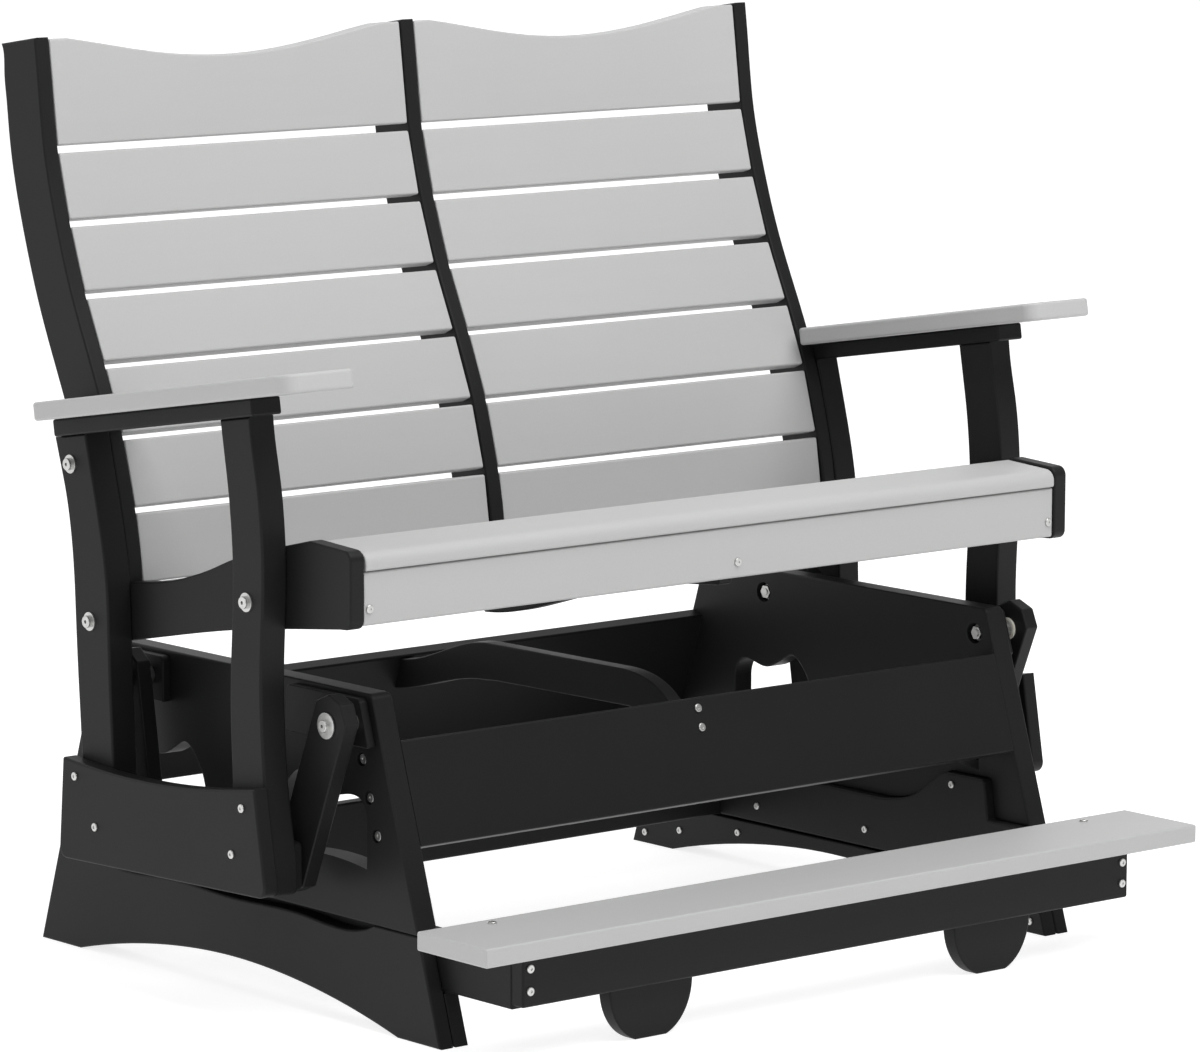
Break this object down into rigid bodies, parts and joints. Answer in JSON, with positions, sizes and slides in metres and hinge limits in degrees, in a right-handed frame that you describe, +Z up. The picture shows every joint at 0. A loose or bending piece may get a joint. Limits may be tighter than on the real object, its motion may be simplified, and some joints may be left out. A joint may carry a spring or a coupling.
{
  "type": "glider swing",
  "caption": "Two-seat counter-height glider: slatted seat and curved slatted back hung on swing arms from a standing base with a fixed footrest.",
  "frame": {"origin": "on the floor at the middle of the footprint", "axes": "+X towards the sitter's left (viewer's right when facing the seat), +Y towards the back of the seat, +Z up; the footrest is at -Y"},
  "size_m": [1.3716, 1.011, 1.2017],
  "materials": {
    "grey_poly": "fine grained matt poly lumber, light grey",
    "black_poly": "fine grained matt poly lumber, black",
    "stainless": "plain stainless steel fasteners",
    "nylon": "smooth natural nylon bushing"
  },
  "bodies": {
    "base": {"base_front_rail": "black_poly", "base_pivot_blocks": "black_poly", "base_pivot_bolts": "stainless", "base_rear_lower_rail": "black_poly", "base_rear_upper_rail": "black_poly", "base_screws": "stainless", "centre_brace": "black_poly", "footrest_arm_left": "black_poly", "footrest_arm_right": "black_poly", "footrest_board": "grey_poly", "footrest_front_rail": "black_poly", "footrest_legs": "black_poly", "inner_foot_left": "black_poly", "inner_foot_right": "black_poly", "outer_foot_left": "black_poly", "outer_foot_right": "black_poly", "side_panel_left": "black_poly", "side_panel_right": "black_poly"},
    "seat": {"arm_brace_left": "black_poly", "arm_brace_right": "black_poly", "arm_rest_left": "grey_poly", "arm_rest_right": "grey_poly", "back_cleats": "black_poly", "back_slat_1": "grey_poly", "back_slat_2": "grey_poly", "back_slat_3": "grey_poly", "back_slat_4": "grey_poly", "back_slat_5": "grey_poly", "back_slat_6": "grey_poly", "back_slat_7": "grey_poly", "front_post_left": "black_poly", "front_post_right": "black_poly", "rear_post_left": "black_poly", "rear_post_right": "black_poly", "seat_apron": "grey_poly", "seat_cleats": "black_poly", "seat_fasteners": "stainless", "seat_pivot_blocks": "black_poly", "seat_pivot_bolts": "stainless", "seat_rail_centre": "black_poly", "seat_rail_left": "black_poly", "seat_rail_right": "black_poly", "seat_slat_1": "grey_poly", "seat_slat_2": "grey_poly", "seat_slat_3": "grey_poly", "seat_slat_4": "grey_poly", "seat_slat_5": "grey_poly", "skirt_left": "black_poly", "skirt_right": "black_poly", "upright_centre": "black_poly", "upright_left": "black_poly", "upright_right": "black_poly"},
    "arm_front_left": {"arm_bushings_front_left": "nylon", "swing_arm_front_left": "black_poly"},
    "arm_front_right": {"arm_bushings_front_right": "nylon", "swing_arm_front_right": "black_poly"},
    "arm_rear_left": {"arm_bushings_rear_left": "nylon", "swing_arm_rear_left": "black_poly"},
    "arm_rear_right": {"arm_bushings_rear_right": "nylon", "swing_arm_rear_right": "black_poly"}
  },
  "joints": [
    {"name": "front_left_pivot", "type": "hinge", "parent": "base", "child": "arm_front_left", "pos_m": [-0.5817, -0.18, 0.388], "axis": [1, 0, 0], "range_deg": [-9, 9]},
    {"name": "front_right_pivot", "type": "hinge", "parent": "base", "child": "arm_front_right", "pos_m": [0.5817, -0.18, 0.388], "axis": [1, 0, 0], "range_deg": [-9, 9]},
    {"name": "rear_left_pivot", "type": "hinge", "parent": "base", "child": "arm_rear_left", "pos_m": [-0.5817, 0.244, 0.3915], "axis": [1, 0, 0], "range_deg": [-8.4, 8.4]},
    {"name": "rear_right_pivot", "type": "hinge", "parent": "base", "child": "arm_rear_right", "pos_m": [0.5817, 0.244, 0.3915], "axis": [1, 0, 0], "range_deg": [-8.4, 8.4]},
    {"name": "seat_front_left_pivot", "type": "hinge", "parent": "arm_front_left", "child": "seat", "pos_m": [-0.5817, -0.10652, 0.20522], "axis": [1, 0, 0], "range_deg": [-11.9, 11.9]}
  ],
  "couplings": [
    {"joint": "front_right_pivot", "follows": "front_left_pivot", "ratio": 1},
    {"joint": "rear_left_pivot", "follows": "front_left_pivot", "ratio": 0.9256},
    {"joint": "rear_right_pivot", "follows": "front_left_pivot", "ratio": 0.9256},
    {"joint": "seat_front_left_pivot", "follows": "front_left_pivot", "ratio": -1.319}
  ]
}
